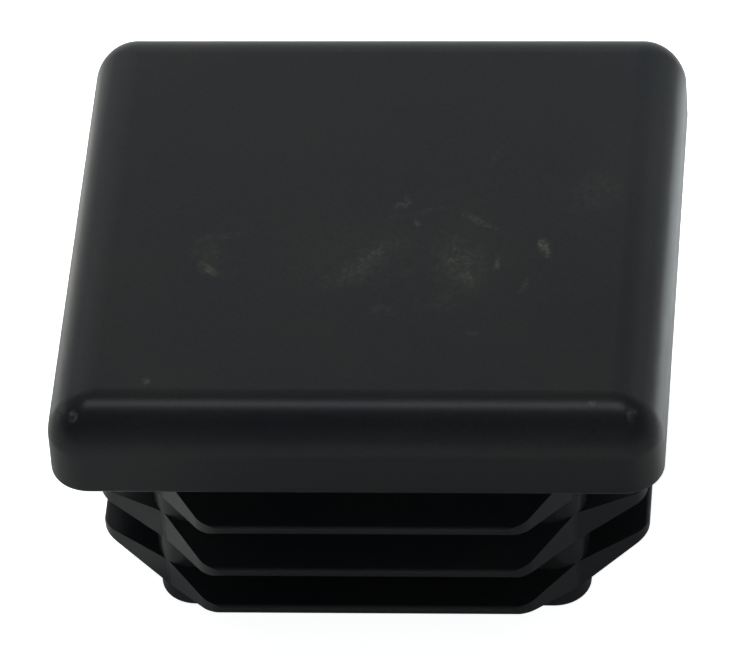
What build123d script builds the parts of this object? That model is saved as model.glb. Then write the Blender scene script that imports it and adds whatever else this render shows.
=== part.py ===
"""Ribbed plug for the open end of a square steel tube, moulded in one piece.

A flat square head with a rolled edge covers the end of the tube. Under it a hollow square core carries rows of thin
tapered fins on its four sides. The fins bend as the plug is driven in and grip the inside of the tube.

Frame: millimetres, +Z up. The plug stands on the open end of its core, with the head on top. The origin is the
centre of that open end, and X and Y run along the sides of the head.
"""

import math
import os

from build123d import *

# Tube that the plug fits
TUBE_SIDE = 30.0  # outside width of the square tube
TUBE_WALL = 1.5  # wall of the tube
GRIP = 0.15  # how far the tip of a fin stands past the inside of the tube, on each side

# Head
HEAD_HEIGHT = 4.75
HEAD_CORNER_RADIUS = 2.0  # in plan, carried up over the rolled edge
HEAD_ROLL_RADIUS = 2.4  # the rolled edge between the top and the sides
HEAD_LIP_RADIUS = 0.25  # the lower edge of the head
HEAD_WALL = 2.2  # plastic left over the hollow

# Core
CORE_WIDTH = 21.5
CORE_DEPTH = 11.65  # from the underside of the head to the open end
CORE_CORNER_RADIUS = 1.8
CORE_WALL = 1.6
CORE_LEAD_RADIUS = 0.3  # the outer edge of the open end

# Fins
FIN_COUNT = 3
FIN_FIRST_DROP = 3.75  # underside of the head to the middle of the first fin
FIN_PITCH = 2.86
FIN_ROOT_THICKNESS = 1.6
FIN_TIP_THICKNESS = 0.5
FIN_TIP_ROUND = 0.2
FIN_END_ANGLE = 55.0  # of the slanted ends, from the line of the tip
FIN_END_BITE = 0.05  # how far a slanted end cuts into the rounded corner of the core that it runs along
FIN_END_ROUND = 1.5  # where a slanted end runs into the tip
LAST_FIN_UPPER = 0.5  # middle of the last fin to its upper side at the root
LAST_FIN_LOWER = 1.0  # and to its underside there, which leads the plug into the tube
LAST_FIN_LIFT = 0.38  # how much higher the tip of the last fin stands than its middle

# Places that follow from the sizes
HEAD_BOTTOM = CORE_DEPTH
HEAD_TOP = HEAD_BOTTOM + HEAD_HEIGHT
TUBE_HALF = TUBE_SIDE / 2
CORE_HALF = CORE_WIDTH / 2
HOLLOW_WIDTH = CORE_WIDTH - 2 * CORE_WALL
HOLLOW_CORNER_RADIUS = CORE_CORNER_RADIUS - CORE_WALL / 2
FIN_REACH = TUBE_HALF - TUBE_WALL + GRIP  # from the axis to the tip
FIN_SEAT = CORE_HALF - CORE_WALL / 2  # the fins start inside the wall of the core
CORNER_CENTRE = CORE_HALF - CORE_CORNER_RADIUS  # of the core's rounded corner, from the axis in both directions
END_OFFSET = CORE_CORNER_RADIUS - FIN_END_BITE  # of a slanted end from that centre
END_SINE = math.sin(math.radians(FIN_END_ANGLE))
END_COSINE = math.cos(math.radians(FIN_END_ANGLE))
FIN_ROOT_REACH = CORNER_CENTRE + END_OFFSET * END_COSINE
FIN_ROOT_HALF = CORNER_CENTRE + END_OFFSET * END_SINE
FIN_TIP_HALF = FIN_ROOT_HALF - (FIN_REACH - FIN_ROOT_REACH) * END_COSINE / END_SINE
FIN_LEVELS = [HEAD_BOTTOM - FIN_FIRST_DROP - FIN_PITCH * n for n in range(FIN_COUNT)]


def at_seat(root, tip):
    """Height at the seat of the straight side of a fin that has these heights at the core's wall and at its tip."""
    return root + (root - tip) * (CORE_HALF - FIN_SEAT) / (FIN_REACH - CORE_HALF)


# Rows of fins on one side: the upright section first, then the outline seen from above
with BuildPart() as fin_row:
    with BuildSketch(Plane.XZ) as section:
        for level in FIN_LEVELS:
            last = level == FIN_LEVELS[-1]
            upper, lower = (LAST_FIN_UPPER, LAST_FIN_LOWER) if last else (FIN_ROOT_THICKNESS / 2,) * 2
            tip_level = level + (LAST_FIN_LIFT if last else 0)
            tip_lower, tip_upper = tip_level - FIN_TIP_THICKNESS / 2, tip_level + FIN_TIP_THICKNESS / 2
            corners = [
                (FIN_SEAT, at_seat(level - lower, tip_lower)),
                (FIN_REACH, tip_lower),
                (FIN_REACH, tip_upper),
                (FIN_SEAT, at_seat(level + upper, tip_upper)),
            ]
            with BuildLine():
                Polyline(*corners, close=True)
            make_face()
        tips = section.vertices().group_by(Axis.X)[-1]
        fillet(tips, FIN_TIP_ROUND)
    extrude(amount=CORE_HALF, both=True)
    with BuildSketch(Plane.XY) as outline:
        with BuildLine():
            Polyline(
                (0, -FIN_ROOT_HALF),
                (FIN_ROOT_REACH, -FIN_ROOT_HALF),
                (FIN_REACH, -FIN_TIP_HALF),
                (FIN_REACH, FIN_TIP_HALF),
                (FIN_ROOT_REACH, FIN_ROOT_HALF),
                (0, FIN_ROOT_HALF),
                close=True,
            )
        make_face()
        fillet(outline.vertices().group_by(Axis.X)[-1], FIN_END_ROUND)
    extrude(amount=HEAD_BOTTOM, mode=Mode.INTERSECT)

with BuildPart() as end_cap:
    # Head: the roll goes on while the corners are sharp, so that rounding them carries over it
    with BuildSketch(Plane.XY.offset(HEAD_BOTTOM)):
        Rectangle(TUBE_SIDE, TUBE_SIDE)
    extrude(amount=HEAD_HEIGHT)
    fillet(end_cap.faces().sort_by(Axis.Z)[-1].edges(), HEAD_ROLL_RADIUS)
    corner_edges = end_cap.edges().filter_by(lambda edge: min(abs(edge.center().X), abs(edge.center().Y)) > CORE_HALF)
    fillet(corner_edges, HEAD_CORNER_RADIUS)
    fillet(end_cap.faces().sort_by(Axis.Z)[0].edges(), HEAD_LIP_RADIUS)

    # Core, down to the open end
    with BuildSketch(Plane.XY):
        RectangleRounded(CORE_WIDTH, CORE_WIDTH, CORE_CORNER_RADIUS)
    extrude(amount=HEAD_BOTTOM)
    fillet(end_cap.faces().sort_by(Axis.Z)[0].edges(), CORE_LEAD_RADIUS)

    # The same rows of fins on the four sides
    with PolarLocations(0, 4):
        add(fin_row.part)

    # Hollow, open at the bottom
    with BuildSketch(Plane.XY):
        RectangleRounded(HOLLOW_WIDTH, HOLLOW_WIDTH, HOLLOW_CORNER_RADIUS)
    extrude(amount=HEAD_TOP - HEAD_WALL, mode=Mode.SUBTRACT)

end_cap.part.label = "end_cap"
os.makedirs("parts", exist_ok=True)
export_step(end_cap.part, "parts/end_cap.step")
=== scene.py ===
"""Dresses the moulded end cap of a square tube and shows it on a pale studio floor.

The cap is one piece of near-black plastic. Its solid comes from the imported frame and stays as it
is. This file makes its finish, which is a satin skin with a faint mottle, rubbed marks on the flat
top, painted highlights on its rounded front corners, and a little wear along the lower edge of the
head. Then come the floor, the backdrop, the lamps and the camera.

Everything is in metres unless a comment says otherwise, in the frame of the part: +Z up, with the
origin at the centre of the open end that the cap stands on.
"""

import logging
import math
from dataclasses import dataclass
from enum import Enum
from typing import NamedTuple

import bpy
from mathutils import Matrix, Vector


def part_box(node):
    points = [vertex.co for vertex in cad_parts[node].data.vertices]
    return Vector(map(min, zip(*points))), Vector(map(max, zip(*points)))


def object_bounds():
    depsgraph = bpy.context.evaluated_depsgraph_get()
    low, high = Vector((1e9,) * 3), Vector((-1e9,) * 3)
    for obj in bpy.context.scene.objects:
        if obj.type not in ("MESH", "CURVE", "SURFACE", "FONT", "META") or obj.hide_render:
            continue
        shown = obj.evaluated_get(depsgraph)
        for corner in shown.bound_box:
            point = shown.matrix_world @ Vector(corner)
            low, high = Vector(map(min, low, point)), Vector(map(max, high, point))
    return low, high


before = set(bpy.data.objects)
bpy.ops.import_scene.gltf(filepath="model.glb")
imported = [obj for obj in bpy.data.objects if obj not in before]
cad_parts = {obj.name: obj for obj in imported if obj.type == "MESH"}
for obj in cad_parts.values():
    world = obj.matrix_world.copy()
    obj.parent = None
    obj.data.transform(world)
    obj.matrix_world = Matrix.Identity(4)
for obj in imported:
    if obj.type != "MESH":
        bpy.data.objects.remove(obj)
CAD_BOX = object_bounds()

LOG = logging.getLogger("end_cap")
MM = 0.001
UP = Vector((0.0, 0.0, 1.0))

# Watts of a lamp one metre away that make white paper facing it shine at a level of 1
AREA_WATTS = math.pi**2
SPOT_WATTS = 4 * math.pi**2

Colour = tuple[float, float, float]
Point = tuple[float, float, float]
Feed = bpy.types.NodeSocket | float | tuple[float, ...]  # what a socket takes: a link or a value


class Fade(NamedTuple):
    """An eased change of one value with another, which is held outside its range."""

    low: float
    high: float
    to_low: float = 0.0
    to_high: float = 1.0


def rgba(colour: Colour) -> tuple[float, float, float, float]:
    """Returns a linear colour with full opacity, as a shader socket takes it."""
    return (*colour, 1.0)


def direction(azimuth: float, elevation: float) -> Vector:
    """Returns the unit vector from the cap towards a place in the studio.

    Args:
        azimuth: degrees round from the front of the cap, which faces -Y, towards +X.
        elevation: degrees above the horizon.

    Returns:
        The direction in the frame of the part.
    """
    turn, rise = math.radians(azimuth), math.radians(elevation)
    level = math.cos(rise)
    return Vector((math.sin(turn) * level, -math.cos(turn) * level, math.sin(rise)))


def link_object(data: bpy.types.Light | bpy.types.Camera) -> bpy.types.Object:
    """Makes the object of a lamp or a camera, under the same name, and links it to the scene.

    Args:
        data: the lamp or the camera.

    Returns:
        The new object.
    """
    item = bpy.data.objects.new(data.name, data)
    bpy.context.scene.collection.objects.link(item)
    return item


class Graph:
    """Short calls for adding nodes to a node tree and wiring them."""

    # Sockets of a Mix node that mixes colours
    MIX_FACTOR, MIX_FIRST, MIX_SECOND, MIX_RESULT = 0, 6, 7, 2

    def __init__(self, tree: bpy.types.NodeTree) -> None:
        """Keeps the tree of a material, a world or a node group to work on."""
        self.tree = tree

    def add(self, kind: str, **settings: object) -> bpy.types.Node:
        """Adds a node and sets its own settings.

        Args:
            kind: the identifier of the node type.
            **settings: attributes of the node.

        Returns:
            The new node.
        """
        node = self.tree.nodes.new(kind)
        for name, value in settings.items():
            setattr(node, name, value)
        return node

    def put(self, value: Feed, socket: bpy.types.NodeSocket) -> None:
        """Sets a socket to a plain value, or links another socket to it."""
        if isinstance(value, bpy.types.NodeSocket):
            self.tree.links.new(value, socket)
        else:
            socket.default_value = value

    def fill(self, node: bpy.types.Node, **values: Feed) -> bpy.types.Node:
        """Puts values into the named sockets of a node.

        Args:
            node: the node to fill.
            **values: plain values or sockets, by socket name with _ for a space.

        Returns:
            The same node.
        """
        for name, value in values.items():
            self.put(value, node.inputs[name.replace("_", " ")])
        return node

    def math(self, operation: str, *values: Feed, clamp: bool = False) -> bpy.types.NodeSocket:
        """Adds a Math node.

        Args:
            operation: the name of the operation.
            *values: numbers or sockets, in the order of the node's inputs.
            clamp: whether the result is kept from 0 to 1.

        Returns:
            The node's output.
        """
        node = self.add("ShaderNodeMath", operation=operation, use_clamp=clamp)
        for value, socket in zip(values, node.inputs):
            self.put(value, socket)
        return node.outputs[0]

    def vector(self, operation: str, *values: Feed) -> bpy.types.Node:
        """Adds a Vector Math node.

        Args:
            operation: the name of the operation.
            *values: vectors, numbers or sockets, in the order of the node's inputs.

        Returns:
            The node, whose result is in Vector or Value.
        """
        node = self.add("ShaderNodeVectorMath", operation=operation)
        for value, socket in zip(values, node.inputs):
            self.put(value, socket)
        return node

    def ramp(
        self, value: Feed, low: Feed, high: Feed, to_low: float = 0.0, to_high: float = 1.0
    ) -> bpy.types.NodeSocket:
        """Maps a range of values onto another one with eased ends, and holds it outside.

        Args:
            value: the socket to map.
            low: the value that becomes to_low.
            high: the value that becomes to_high.
            to_low: the result at the low end.
            to_high: the result at the high end.

        Returns:
            The mapped value.
        """
        node = self.add("ShaderNodeMapRange", interpolation_type="SMOOTHSTEP")
        self.fill(node, Value=value, From_Min=low, From_Max=high, To_Min=to_low, To_Max=to_high)
        return node.outputs["Result"]

    def noise(
        self, vector: Feed, scale: Feed, detail: float = 3.0, rough: float = 0.5
    ) -> bpy.types.Node:
        """Adds a noise texture.

        Args:
            vector: the place, in metres.
            scale: features per metre.
            detail: number of finer layers.
            rough: weight of the finer layers.

        Returns:
            The node, whose values in Fac and Color stay around one half.
        """
        node = self.add("ShaderNodeTexNoise")
        return self.fill(node, Vector=vector, Scale=scale, Detail=detail, Roughness=rough)

    def mix(self, factor: Feed, first: Feed, second: Feed) -> bpy.types.NodeSocket:
        """Mixes two colours.

        Args:
            factor: share of the second one.
            first: a colour or a socket.
            second: a colour or a socket.

        Returns:
            The mixed colour.
        """
        node = self.add("ShaderNodeMix", data_type="RGBA")
        self.put(factor, node.inputs[self.MIX_FACTOR])
        self.put(first, node.inputs[self.MIX_FIRST])
        self.put(second, node.inputs[self.MIX_SECOND])
        return node.outputs[self.MIX_RESULT]


class Effect:
    """A shader node group with named inputs and outputs, built once and placed in a material."""

    def __init__(self, name: str, inputs: dict[str, str], outputs: dict[str, str]) -> None:
        """Makes the empty group.

        Args:
            name: the name of the group.
            inputs: the socket type of each input, by name.
            outputs: the socket type of each output, by name.
        """
        self.tree = bpy.data.node_groups.new(name, "ShaderNodeTree")
        for socket_name, kind in inputs.items():
            self.tree.interface.new_socket(name=socket_name, in_out="INPUT", socket_type=kind)
        for socket_name, kind in outputs.items():
            self.tree.interface.new_socket(name=socket_name, in_out="OUTPUT", socket_type=kind)
        self.graph = Graph(self.tree)
        self.given = self.graph.add("NodeGroupInput").outputs
        self.result = self.graph.add("NodeGroupOutput").inputs

    def place(self, graph: Graph, **values: Feed) -> bpy.types.Node:
        """Adds the group to another tree with its own values.

        Args:
            graph: the tree that takes it.
            **values: plain values or sockets, by input name with _ for a space.

        Returns:
            The group node.
        """
        return graph.fill(graph.add("ShaderNodeGroup", node_tree=self.tree), **values)


FLOAT, VECTOR = "NodeSocketFloat", "NodeSocketVector"
OVAL_EDGE = Fade(0.25, 1.0, 1.0, 0.0)  # mask of a rubbed mark or a painted corner highlight, by the share of its half size
WORN_NOISE = 0.8  # noise at which an edge is worn right through


def mottle_effect() -> Effect:
    """Builds the cloudy tone of moulded plastic: slow patches with a fine grain over them.

    Returns:
        The effect. Cloud and Grain both stay around one half.
    """
    effect = Effect(
        "mottle",
        inputs={"Vector": VECTOR, "Cloud Scale": FLOAT, "Grain Scale": FLOAT},
        outputs={"Cloud": FLOAT, "Grain": FLOAT},
    )
    graph, given = effect.graph, effect.given
    cloud = graph.noise(given["Vector"], given["Cloud Scale"], detail=2.0, rough=0.55)
    grain = graph.noise(given["Vector"], given["Grain Scale"], detail=2.0, rough=0.6)
    graph.put(cloud.outputs["Fac"], effect.result["Cloud"])
    graph.put(grain.outputs["Fac"], effect.result["Grain"])
    return effect


def rub_and_glint_effect() -> Effect:
    """Builds the mask of one pale mark, a rub or a painted highlight: a soft oval body that is
    turned about its upright axis.

    Returns:
        The effect, whose Mask is 1 in the middle of the mark and 0 outside it.
    """
    effect = Effect(
        "rub_and_glint_mark",
        inputs={"Vector": VECTOR, "Centre": VECTOR, "Turn": FLOAT, "Half Size": VECTOR},
        outputs={"Mask": FLOAT},
    )
    graph, given = effect.graph, effect.given
    local = graph.vector("SUBTRACT", given["Vector"], given["Centre"]).outputs["Vector"]
    turned = graph.add("ShaderNodeVectorRotate", rotation_type="Z_AXIS")
    graph.fill(turned, Vector=local, Angle=graph.math("MULTIPLY", given["Turn"], -1.0))
    oval = graph.vector("DIVIDE", turned.outputs["Vector"], given["Half Size"]).outputs["Vector"]
    away = graph.vector("LENGTH", oval).outputs["Value"]
    graph.put(graph.ramp(away, *OVAL_EDGE), effect.result["Mask"])
    return effect


def edge_wear_effect() -> Effect:
    """Builds the broken pale line that handling leaves along a level edge.

    Returns:
        The effect, whose Mask is 1 where the edge is worn.
    """
    effect = Effect(
        "edge_wear",
        inputs={"Vector": VECTOR, "Level": FLOAT, "Reach": FLOAT, "Scale": FLOAT, "Amount": FLOAT},
        outputs={"Mask": FLOAT},
    )
    graph, given = effect.graph, effect.given
    height = graph.fill(graph.add("ShaderNodeSeparateXYZ"), Vector=given["Vector"]).outputs["Z"]
    away = graph.math("ABSOLUTE", graph.math("SUBTRACT", height, given["Level"]))
    near = graph.ramp(away, 0.0, given["Reach"], 1.0, 0.0)
    broken = graph.noise(given["Vector"], given["Scale"], detail=4.0, rough=0.65).outputs["Fac"]
    worn = graph.ramp(broken, graph.math("SUBTRACT", WORN_NOISE, given["Amount"]), WORN_NOISE)
    graph.put(graph.math("MULTIPLY", near, worn), effect.result["Mask"])
    return effect


@dataclass(frozen=True)
class RubMarkOrGlint:
    """A place on the top where the skin is rubbed paler, or a painted highlight on its rolled edge,
    in millimetres.
    """

    centre: tuple[float, float]  # X and Y
    length: float
    width: float
    turn: float = 0.0  # degrees from X towards Y
    strength: float = 0.5  # weight of the pale colour; above 1 the mark also spreads outwards
    warm: bool = True  # beige, or else grey
    drop: float = 0.0  # how far the place lies under the flat top


# Pale marks on the skin: rubs on the flat top, and, where a mark has a drop, painted highlights on
# the rounded front corners
RUB_MARKS_AND_GLINTS = (
    RubMarkOrGlint((8.75, -2.25), 1.8, 0.7, turn=-68, strength=1.8),
    RubMarkOrGlint((5.45, -0.25), 3.2, 0.6, turn=-35, strength=0.6),
    RubMarkOrGlint((4.7, -3.5), 5.8, 3.8, turn=-82, strength=0.24),
    RubMarkOrGlint((4.3, -2.9), 2.4, 0.5, turn=-80, strength=0.34),
    RubMarkOrGlint((5.1, -4.2), 3.0, 0.6, turn=-82, strength=0.38),
    RubMarkOrGlint((6.5, -3.5), 1.6, 0.5, turn=80, strength=0.5),
    RubMarkOrGlint((8.0, -4.9), 2.0, 0.45, turn=75, strength=0.45),
    RubMarkOrGlint((5.65, -8.6), 0.9, 0.6, strength=0.8, warm=False),
    RubMarkOrGlint((-0.3, -3.6), 7.0, 2.6, turn=46, strength=0.22),
    RubMarkOrGlint((0.4, -2.8), 3.4, 0.6, turn=40, strength=0.24),
    RubMarkOrGlint((2.2, 0.25), 4.6, 0.5, turn=18, strength=0.22),
    RubMarkOrGlint((1.6, 1.1), 1.6, 0.6, turn=65, strength=0.75, warm=False),
    RubMarkOrGlint((2.4, -0.5), 1.0, 0.45, turn=-75, strength=0.65, warm=False),
    RubMarkOrGlint((-7.3, -1.4), 3.6, 0.8, turn=10, strength=0.30),
    RubMarkOrGlint((-7.9, -2.4), 3.2, 2.4, turn=-60, strength=0.20),
    RubMarkOrGlint((-7.6, -4.0), 2.4, 1.0, turn=-42, strength=0.60),
    RubMarkOrGlint((1.0, -7.0), 2.0, 1.3, strength=0.24, warm=False),
    RubMarkOrGlint((3.9, -6.4), 2.4, 1.8, strength=0.18),
    RubMarkOrGlint((6.0, 4.7), 2.6, 0.5, turn=78, strength=0.26, warm=False),
    RubMarkOrGlint((11.0, 1.8), 4.4, 3.4, turn=60, strength=0.20, warm=False),
    RubMarkOrGlint((0.5, -3.0), 19.0, 8.0, turn=6, strength=0.07),
    RubMarkOrGlint((-10.05, -12.1), 0.6, 0.6, strength=2.4, warm=False),
    # Painted highlights: pale grey spots on the rounded front corners, where the lamps glint
    RubMarkOrGlint((-13.58, -14.0), 0.8, 0.6, turn=20, strength=1.5, warm=False, drop=0.65),
    RubMarkOrGlint((-14.2, -13.4), 1.0, 0.8, turn=-45, strength=0.6, warm=False, drop=0.72),
    RubMarkOrGlint((11.7, -13.4), 0.7, 0.5, strength=1.0, warm=False, drop=0.15),
    RubMarkOrGlint((13.5, -13.8), 1.1, 0.6, turn=80, strength=1.2, warm=False, drop=0.5),
)


@dataclass(frozen=True)
class SatinPlastic:
    """The finish of the cap: near-black polyethylene with a soft sheen.

    The scales of its noises are in features per metre.
    """

    slot: str = "black_plastic"
    colour: Colour = (0.0146, 0.0154, 0.0184)
    roughness: float = 0.30
    specular: float = 0.34
    refractive_index: float = 1.5

    # Mottle: slow clouds of a second shade, and a fine grain in the shade and the surface
    cloud_colour: Colour = (0.0180, 0.0180, 0.0182)
    cloud_scale: float = 140.0
    cloud_share: Fade = Fade(0.3, 0.7)
    grain_scale: float = 5200.0
    grain_shade: Fade = Fade(0.25, 0.75, 0.82, 1.18)
    grain_height: float = 0.0022 * MM

    # Rubbed marks and painted corner highlights: stirred so that they look smeared, and broken up
    # by grit
    warm_rub: Colour = (0.074, 0.077, 0.056)
    # The grey colour also paints the highlights on the front corners, and the edge wear
    grey_rub_and_glint: Colour = (0.066, 0.070, 0.060)
    rub_and_glint_depth: float = 1.0 * MM  # half the height that a mark takes up
    rub_and_glint_roughness: float = 0.2  # what a full mark adds
    stir_scale: float = 900.0
    stir_reach: float = 0.9 * MM
    grit_scale: float = 2600.0
    grit_share: Fade = Fade(0.38, 0.66, 0.15, 1.0)

    # Wear along the lower edge of the head
    wear_scale: float = 700.0
    wear_reach: float = 0.35 * MM
    wear_amount: float = 0.18
    wear_strength: float = 0.35

    def rubs_and_glints(
        self, graph: Graph, place: Feed, top: float, base: Feed
    ) -> tuple[bpy.types.NodeSocket, bpy.types.NodeSocket]:
        """Lays every rubbed mark and every painted corner highlight over the plastic, a little
        stirred and broken up.

        Args:
            graph: the tree of the material.
            place: the socket with the place on the piece.
            top: height of the flat top, in metres.
            base: the colour of the plain plastic.

        Returns:
            The colour with the marks on it, and how strongly each place is marked, painted
            highlights included.
        """
        stirred = graph.noise(place, self.stir_scale).outputs["Color"]
        reach = (self.stir_reach, self.stir_reach, 0.0)
        centred = graph.vector("SUBTRACT", stirred, (0.5, 0.5, 0.5)).outputs["Vector"]
        shift = graph.vector("MULTIPLY", centred, reach).outputs["Vector"]
        moved = graph.vector("ADD", place, shift).outputs["Vector"]
        specks = graph.noise(place, self.grit_scale, detail=4.0, rough=0.7).outputs["Fac"]
        grit = graph.ramp(specks, *self.grit_share)
        effect = rub_and_glint_effect()
        sums: dict[bool, Feed] = {True: 0.0, False: 0.0}  # of the warm marks and of the grey ones, which include the painted corner highlights
        for mark in RUB_MARKS_AND_GLINTS:
            centre = (mark.centre[0] * MM, mark.centre[1] * MM, top - mark.drop * MM)
            half_size = (mark.length / 2 * MM, mark.width / 2 * MM, self.rub_and_glint_depth)
            turn = math.radians(mark.turn)
            node = effect.place(graph, Vector=moved, Centre=centre, Turn=turn, Half_Size=half_size)
            weighed = graph.math("MULTIPLY", node.outputs["Mask"], mark.strength)
            sums[mark.warm] = graph.math("ADD", sums[mark.warm], weighed)
        warm = graph.math("MULTIPLY", sums[True], grit, clamp=True)
        grey = graph.math("MULTIPLY", sums[False], grit, clamp=True)
        colour = graph.mix(warm, base, rgba(self.warm_rub))
        colour = graph.mix(grey, colour, rgba(self.grey_rub_and_glint))
        return colour, graph.math("ADD", warm, grey, clamp=True)

    def material(self, lower_edge: float, top: float) -> bpy.types.Material:
        """Builds the material.

        Args:
            lower_edge: height of the lower edge of the head, in metres.
            top: height of the flat top, in metres.

        Returns:
            The material.
        """
        material = bpy.data.materials.new("satin_black_plastic")
        material.use_nodes = True
        graph = Graph(material.node_tree)
        shader = material.node_tree.nodes["Principled BSDF"]
        place = graph.add("ShaderNodeTexCoord").outputs["Object"]

        mottle = mottle_effect().place(
            graph, Vector=place, Cloud_Scale=self.cloud_scale, Grain_Scale=self.grain_scale
        ).outputs
        cloud = graph.ramp(mottle["Cloud"], *self.cloud_share)
        base = graph.mix(cloud, rgba(self.colour), rgba(self.cloud_colour))
        # Rubbed marks on the top, and painted highlights on the rounded front corners
        colour, rub_and_glint = self.rubs_and_glints(graph, place, top, base)
        worn = edge_wear_effect().place(
            graph,
            Vector=place,
            Level=lower_edge,
            Reach=self.wear_reach,
            Scale=self.wear_scale,
            Amount=self.wear_amount,
        ).outputs["Mask"]
        wear = graph.math("MULTIPLY", worn, self.wear_strength)
        colour = graph.mix(wear, colour, rgba(self.grey_rub_and_glint))
        shade = graph.ramp(mottle["Grain"], *self.grain_shade)
        grained = graph.fill(graph.vector("SCALE", colour), Scale=shade)
        bump = graph.add("ShaderNodeBump")
        graph.fill(bump, Height=mottle["Grain"], Distance=self.grain_height, Strength=1.0)
        graph.fill(
            shader,
            Base_Color=grained.outputs["Vector"],
            Roughness=graph.math("MULTIPLY_ADD", rub_and_glint, self.rub_and_glint_roughness, self.roughness),
            Normal=bump.outputs["Normal"],
            Specular_IOR_Level=self.specular,
            IOR=self.refractive_index,
        )
        return material


@dataclass(frozen=True)
class EndCap:
    """The moulded cap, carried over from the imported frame."""

    node: str = "end_cap"
    finish: SatinPlastic = SatinPlastic()
    head_height: float = 4.75 * MM  # from its lower edge to its flat top

    def dress(self) -> bpy.types.Object:
        """Gives the solid its finish.

        Returns:
            The dressed object.
        """
        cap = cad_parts[self.node]
        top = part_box(self.node)[1].z
        cap.material_slots[0].material = self.finish.material(top - self.head_height, top)
        return cap


class LampPlace(Enum):
    """Where each softbox hangs, as azimuth and elevation in degrees."""

    OVERHEAD = (180.0, 88.0)
    HIGH_BACK = (-160.0, 41.0)
    LOW_BACK = (180.0, 30.0)
    FRONT = (0.0, 14.0)
    LEFT = (-115.0, 38.0)
    RIGHT = (115.0, 38.0)


DAYLIGHT: Colour = (0.88, 0.955, 1.0)
WARM_WHITE: Colour = (0.98, 1.0, 0.92)


@dataclass(frozen=True)
class Softbox:
    """A flat soft lamp that faces the cap. Sizes are in metres."""

    place: LampPlace
    distance: float
    width: float
    height: float
    level: float  # how bright it makes white paper that faces it
    tint: Colour = DAYLIGHT
    in_gloss: bool = True  # whether a gloss shows the lamp itself
    on_matt: bool = True  # whether it lights matt surfaces

    def hang(self, target: Vector) -> bpy.types.Object:
        """Makes the lamp.

        Args:
            target: the point that it faces.

        Returns:
            The lamp object.
        """
        data = bpy.data.lights.new(f"softbox_{self.place.name.lower()}", "AREA")
        data.shape = "RECTANGLE"
        data.size, data.size_y = self.width, self.height
        data.color = self.tint
        data.energy = self.level * AREA_WATTS * self.distance**2
        lamp = link_object(data)
        lamp.visible_glossy = self.in_gloss
        lamp.visible_diffuse = self.on_matt
        way = direction(*self.place.value)
        lamp.location = target + way * self.distance
        lamp.rotation_mode = "QUATERNION"
        lamp.rotation_quaternion = (-way).to_track_quat("-Z", "Y")
        return lamp


@dataclass(frozen=True)
class FloorWash:
    """A spot lamp that lights a patch of the floor beside the cap. Sizes are in metres."""

    name: str
    spot: Point  # middle of the patch, on the floor
    height: float = 0.50
    patch: float = 0.028  # across
    level: float = 2.3  # how bright it makes white paper in the patch
    tint: Colour = DAYLIGHT
    blend: float = 0.4  # share of the patch over which its edge fades
    radius: float = 0.02  # of the lamp itself, which softens its shadows

    def hang(self) -> bpy.types.Object:
        """Makes the lamp over its patch.

        Returns:
            The lamp object.
        """
        data = bpy.data.lights.new(self.name, "SPOT")
        data.color = self.tint
        data.spot_size = 2 * math.atan(self.patch / 2 / self.height)
        data.spot_blend = self.blend
        data.shadow_soft_size = self.radius
        data.energy = self.level * SPOT_WATTS * self.height**2
        lamp = link_object(data)
        lamp.visible_glossy = False
        lamp.location = Vector(self.spot) + self.height * UP
        return lamp


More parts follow.
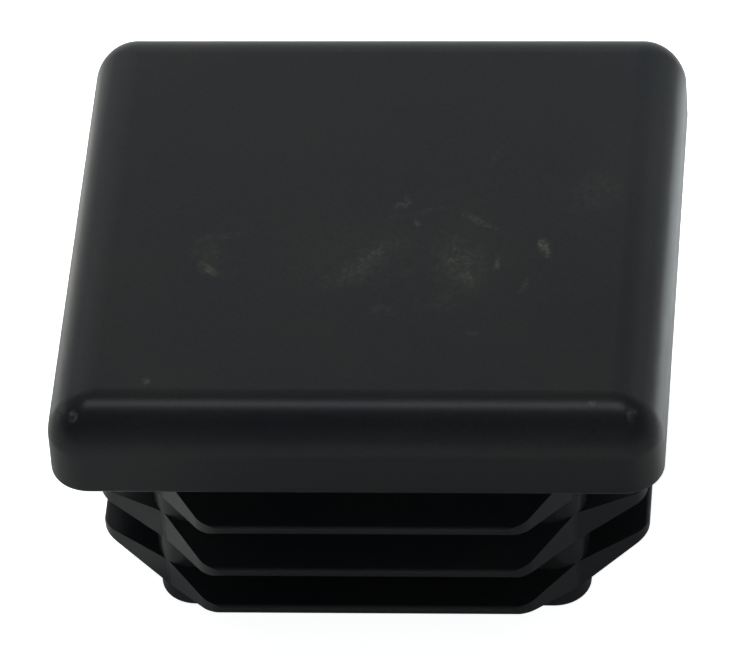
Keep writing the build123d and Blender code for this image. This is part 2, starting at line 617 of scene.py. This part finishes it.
@dataclass(frozen=True)
class Studio:
    """The pale floor, the backdrop and the lamps round the cap."""

    white: Colour = (1.0, 1.0, 1.0)
    gloss_share: float = 0.03  # of the white that is seen directly, what a gloss shows

    floor_size: float = 6.0
    floor_colour: Colour = (0.74, 0.74, 0.74)
    floor_lift: float = 0.92  # what the floor adds to its own shade where it is seen directly

    # What the backdrop lends to the light and to a gloss, by the upward part of the direction
    backdrop_horizon: Fade = Fade(0.0, 0.5, 0.37, 0.0)  # behind the cap, added to the next one
    backdrop_behind: Fade = Fade(0.60, 0.92, 0.17, 0.05)
    backdrop_before: Fade = Fade(0.0, 0.25, 0.14, 0.12)
    backdrop_turn: Fade = Fade(-0.3, 0.4)  # from before the cap to behind it, by the Y part

    softboxes: tuple[Softbox, ...] = (
        Softbox(LampPlace.OVERHEAD, 0.70, 0.50, 0.13, 0.12, on_matt=False),
        Softbox(LampPlace.HIGH_BACK, 0.70, 0.26, 0.14, 0.60, tint=WARM_WHITE, in_gloss=False),
        Softbox(LampPlace.LOW_BACK, 0.20, 0.34, 0.085, 0.079),
        Softbox(LampPlace.FRONT, 0.70, 0.50, 0.20, 0.21, in_gloss=False),
        Softbox(LampPlace.LEFT, 0.70, 0.45, 0.45, 0.07, in_gloss=False),
        Softbox(LampPlace.RIGHT, 0.70, 0.45, 0.45, 0.03, in_gloss=False),
    )
    floor_washes: tuple[FloorWash, ...] = (
        FloorWash("floor_wash_near", (0.037, 0.014, 0.0)),
        FloorWash("floor_wash_far", (0.037, 0.036, 0.0)),
        FloorWash("floor_wash_left", (-0.038, 0.030, 0.0), patch=0.040, level=1.3, tint=WARM_WHITE),
    )

    def seen_directly(self, graph: Graph) -> bpy.types.NodeSocket:
        """Builds the switch between what is seen directly and what only lights the cap.

        Args:
            graph: the tree that takes it.

        Returns:
            The value, which is 1 for the camera, also through glass, and gloss_share for a gloss.
        """
        path = graph.add("ShaderNodeLightPath").outputs
        gloss = graph.math("MULTIPLY", path["Is Glossy Ray"], self.gloss_share)
        direct = graph.math("MAXIMUM", path["Is Camera Ray"], path["Is Transmission Ray"])
        return graph.math("MAXIMUM", direct, gloss)

    def lay_floor(self) -> bpy.types.Object:
        """Makes the floor, which looks white and keeps the shadow of the cap.

        Returns:
            The floor object.
        """
        bpy.ops.mesh.primitive_plane_add(size=self.floor_size, location=(0.0, 0.0, CAD_BOX[0].z))
        floor = bpy.context.object
        floor.name = "studio_floor"
        material = bpy.data.materials.new("pale_floor")
        material.use_nodes = True
        graph = Graph(material.node_tree)
        shader = material.node_tree.nodes["Principled BSDF"]
        graph.fill(
            shader,
            Base_Color=rgba(self.floor_colour),
            Roughness=1.0,
            Specular_IOR_Level=0.0,
            Emission_Color=rgba(self.white),
            Emission_Strength=graph.math("MULTIPLY", self.seen_directly(graph), self.floor_lift),
        )
        floor.data.materials.append(material)
        return floor

    def hang_backdrop(self) -> bpy.types.World:
        """Makes the world: white where it is seen directly, and dim for the light and the gloss.

        Returns:
            The world.
        """
        world = bpy.data.worlds.new("studio_sweep")
        bpy.context.scene.world = world
        world.use_nodes = True
        graph = Graph(world.node_tree)
        shader = world.node_tree.nodes["Background"]
        outward = graph.add("ShaderNodeTexCoord").outputs["Generated"]
        way = graph.fill(graph.add("ShaderNodeSeparateXYZ"), Vector=outward).outputs
        horizon = graph.ramp(way["Z"], *self.backdrop_horizon)
        behind = graph.math("ADD", graph.ramp(way["Z"], *self.backdrop_behind), horizon)
        before = graph.ramp(way["Z"], *self.backdrop_before)
        turn = graph.ramp(way["Y"], *self.backdrop_turn)
        level = graph.math(
            "ADD",
            graph.math("MULTIPLY", behind, turn),
            graph.math("MULTIPLY", before, graph.math("SUBTRACT", 1.0, turn)),
        )
        direct = self.seen_directly(graph)
        graph.fill(
            shader,
            Color=graph.mix(direct, rgba(DAYLIGHT), rgba(self.white)),
            Strength=graph.math("MAXIMUM", level, direct),
        )
        return world

    def build(self) -> None:
        """Makes the floor, the backdrop and every lamp."""
        target = (CAD_BOX[0] + CAD_BOX[1]) / 2
        made = [self.lay_floor(), self.hang_backdrop()]
        made += [softbox.hang(target) for softbox in self.softboxes]
        made += [wash.hang() for wash in self.floor_washes]
        for item in made:
            LOG.info("studio: %s", item.name)


@dataclass(frozen=True)
class StudioCamera:
    """A long lens that looks down on the front of the cap, in millimetres and degrees."""

    aim: Point = (-0.41, -0.05, -7.58)  # from the middle of the flat top
    azimuth: float = 6.963
    elevation: float = 41.915
    distance: float = 440.4
    roll: float = -4.493
    lens: float = 427.27
    sensor: float = 36.0
    nearest: float = 50.0  # it sees only what lies between these distances
    farthest: float = 20_000.0

    def place(self) -> bpy.types.Object:
        """Makes the camera and gives it to the scene.

        Returns:
            The camera object.
        """
        data = bpy.data.cameras.new("studio_camera")
        data.lens, data.sensor_width = self.lens, self.sensor
        data.clip_start, data.clip_end = self.nearest * MM, self.farthest * MM
        camera = link_object(data)
        back = direction(self.azimuth, self.elevation)
        right = (-back).cross(UP).normalized()
        up = back.cross(right)
        turn = math.radians(self.roll)
        tilted_right = right * math.cos(turn) + up * math.sin(turn)
        tilted_up = up * math.cos(turn) - right * math.sin(turn)
        axes = Matrix((tilted_right, tilted_up, back)).transposed().to_4x4()
        aim = Vector(self.aim) * MM + CAD_BOX[1].z * UP
        camera.matrix_world = Matrix.Translation(aim + back * self.distance * MM) @ axes
        bpy.context.scene.camera = camera
        return camera


def main() -> None:
    """Dresses the cap, builds the studio round it and places the camera."""
    logging.basicConfig(level=logging.INFO, format="%(message)s")
    bpy.context.scene.view_settings.view_transform = "Standard"
    cap = EndCap().dress()
    LOG.info("dressed: %s", cap.name)
    Studio().build()
    camera = StudioCamera().place()
    LOG.info("camera: %s", camera.name)


if __name__ == "__main__":
    main()
